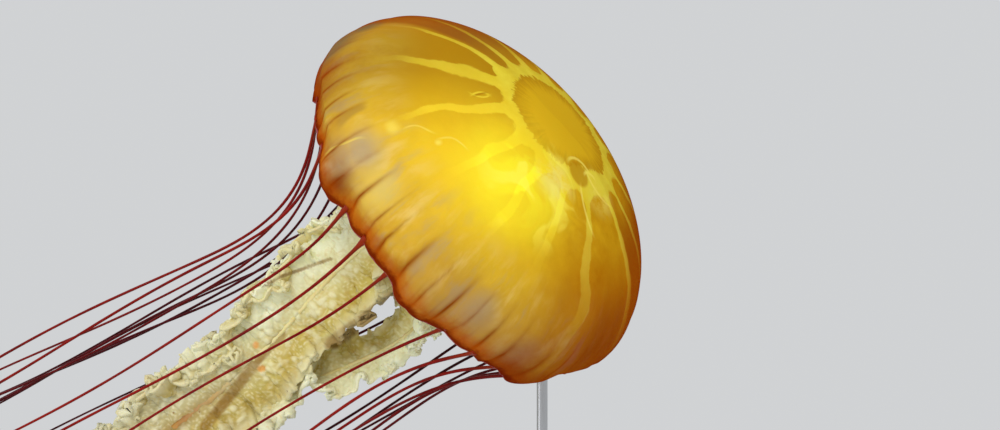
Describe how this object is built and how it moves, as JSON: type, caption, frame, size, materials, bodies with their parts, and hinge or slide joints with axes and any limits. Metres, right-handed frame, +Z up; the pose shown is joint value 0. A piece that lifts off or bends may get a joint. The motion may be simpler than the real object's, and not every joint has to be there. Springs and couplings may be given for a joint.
{
  "type": "sea nettle jellyfish model",
  "caption": "Life-size still model of a sea nettle jellyfish with a leaning golden bell, trailing maroon tentacles and frilled cream mouth arms, held by a rod on a flat plate.",
  "frame": {"origin": "middle of the flat underside of the stand's plate", "axes": "+Z up; +X is the way the bell leans and swims, so the tentacles and mouth arms trail to -X; the crown also turns a little to -Y"},
  "size_m": [1.0767, 0.4344, 0.6362],
  "materials": {
    "bell_jelly": "wet, glossy, slightly translucent golden jelly",
    "margin_jelly": "wet, thin red-orange jelly",
    "tentacle_flesh": "wet maroon flesh",
    "mouth_arm_flesh": "soft, frilled cream flesh",
    "coated_steel": "matt powder coat",
    "stainless_steel": "fine drawn finish"
  },
  "bodies": {
    "root": {"bell_crown": "bell_jelly", "bell_wall": "bell_jelly", "bell_margin": "margin_jelly", "manubrium": "mouth_arm_flesh", "mouth_arm_1_middle": "mouth_arm_flesh", "mouth_arm_1_root": "mouth_arm_flesh", "mouth_arm_1_tip": "mouth_arm_flesh", "mouth_arm_2_middle": "mouth_arm_flesh", "mouth_arm_2_root": "mouth_arm_flesh", "mouth_arm_2_tip": "mouth_arm_flesh", "mouth_arm_3_middle": "mouth_arm_flesh", "mouth_arm_3_root": "mouth_arm_flesh", "mouth_arm_3_tip": "mouth_arm_flesh", "mouth_arm_4_middle": "mouth_arm_flesh", "mouth_arm_4_root": "mouth_arm_flesh", "mouth_arm_4_tip": "mouth_arm_flesh", "stand_base": "coated_steel", "stand_rod": "stainless_steel", "tentacle_01": "tentacle_flesh", "tentacle_02_lower": "tentacle_flesh", "tentacle_02_upper": "tentacle_flesh", "tentacle_03_lower": "tentacle_flesh", "tentacle_03_upper": "tentacle_flesh", "tentacle_04_lower": "tentacle_flesh", "tentacle_04_upper": "tentacle_flesh", "tentacle_05_lower": "tentacle_flesh", "tentacle_05_upper": "tentacle_flesh", "tentacle_06": "tentacle_flesh", "tentacle_07": "tentacle_flesh", "tentacle_08_lower": "tentacle_flesh", "tentacle_08_upper": "tentacle_flesh", "tentacle_09_lower": "tentacle_flesh", "tentacle_09_upper": "tentacle_flesh", "tentacle_10_lower": "tentacle_flesh", "tentacle_10_upper": "tentacle_flesh", "tentacle_11_lower": "tentacle_flesh", "tentacle_11_upper": "tentacle_flesh", "tentacle_12_lower": "tentacle_flesh", "tentacle_12_upper": "tentacle_flesh", "tentacle_13_lower": "tentacle_flesh", "tentacle_13_upper": "tentacle_flesh", "tentacle_14_lower": "tentacle_flesh", "tentacle_14_upper": "tentacle_flesh", "tentacle_15_lower": "tentacle_flesh", "tentacle_15_upper": "tentacle_flesh", "tentacle_16_lower": "tentacle_flesh", "tentacle_16_upper": "tentacle_flesh", "tentacle_17_lower": "tentacle_flesh", "tentacle_17_upper": "tentacle_flesh", "tentacle_18": "tentacle_flesh", "tentacle_19": "tentacle_flesh", "tentacle_20_lower": "tentacle_flesh", "tentacle_20_upper": "tentacle_flesh", "tentacle_21_lower": "tentacle_flesh", "tentacle_21_upper": "tentacle_flesh", "tentacle_22_lower": "tentacle_flesh", "tentacle_22_upper": "tentacle_flesh", "tentacle_23_lower": "tentacle_flesh", "tentacle_23_upper": "tentacle_flesh", "tentacle_24": "tentacle_flesh"}
  },
  "joints": []
}
